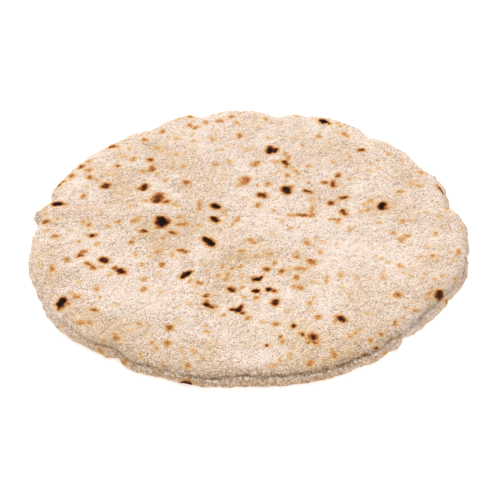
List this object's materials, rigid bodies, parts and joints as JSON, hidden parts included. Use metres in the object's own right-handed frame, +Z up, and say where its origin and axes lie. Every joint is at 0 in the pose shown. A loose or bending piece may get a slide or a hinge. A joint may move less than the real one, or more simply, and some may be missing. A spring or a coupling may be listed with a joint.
{
  "type": "pita bread",
  "caption": "Round flat bread baked in one piece, with a flat underside, a rolled rim and an uneven, lightly scorched top crust.",
  "frame": {"origin": "middle of the outline on the flat underside, at the surface the bread rests on", "axes": "+Z up through the thickness, out of the top crust; -Y towards the viewer's near edge; +X to the right"},
  "size_m": [0.2006, 0.2004, 0.0126],
  "materials": {
    "baked_crust": "dry, matt, finely grained baked crust, pale cream with tan patches and brown to black scorch spots"
  },
  "bodies": {
    "root": {"pita_bread": "baked_crust"}
  },
  "joints": []
}
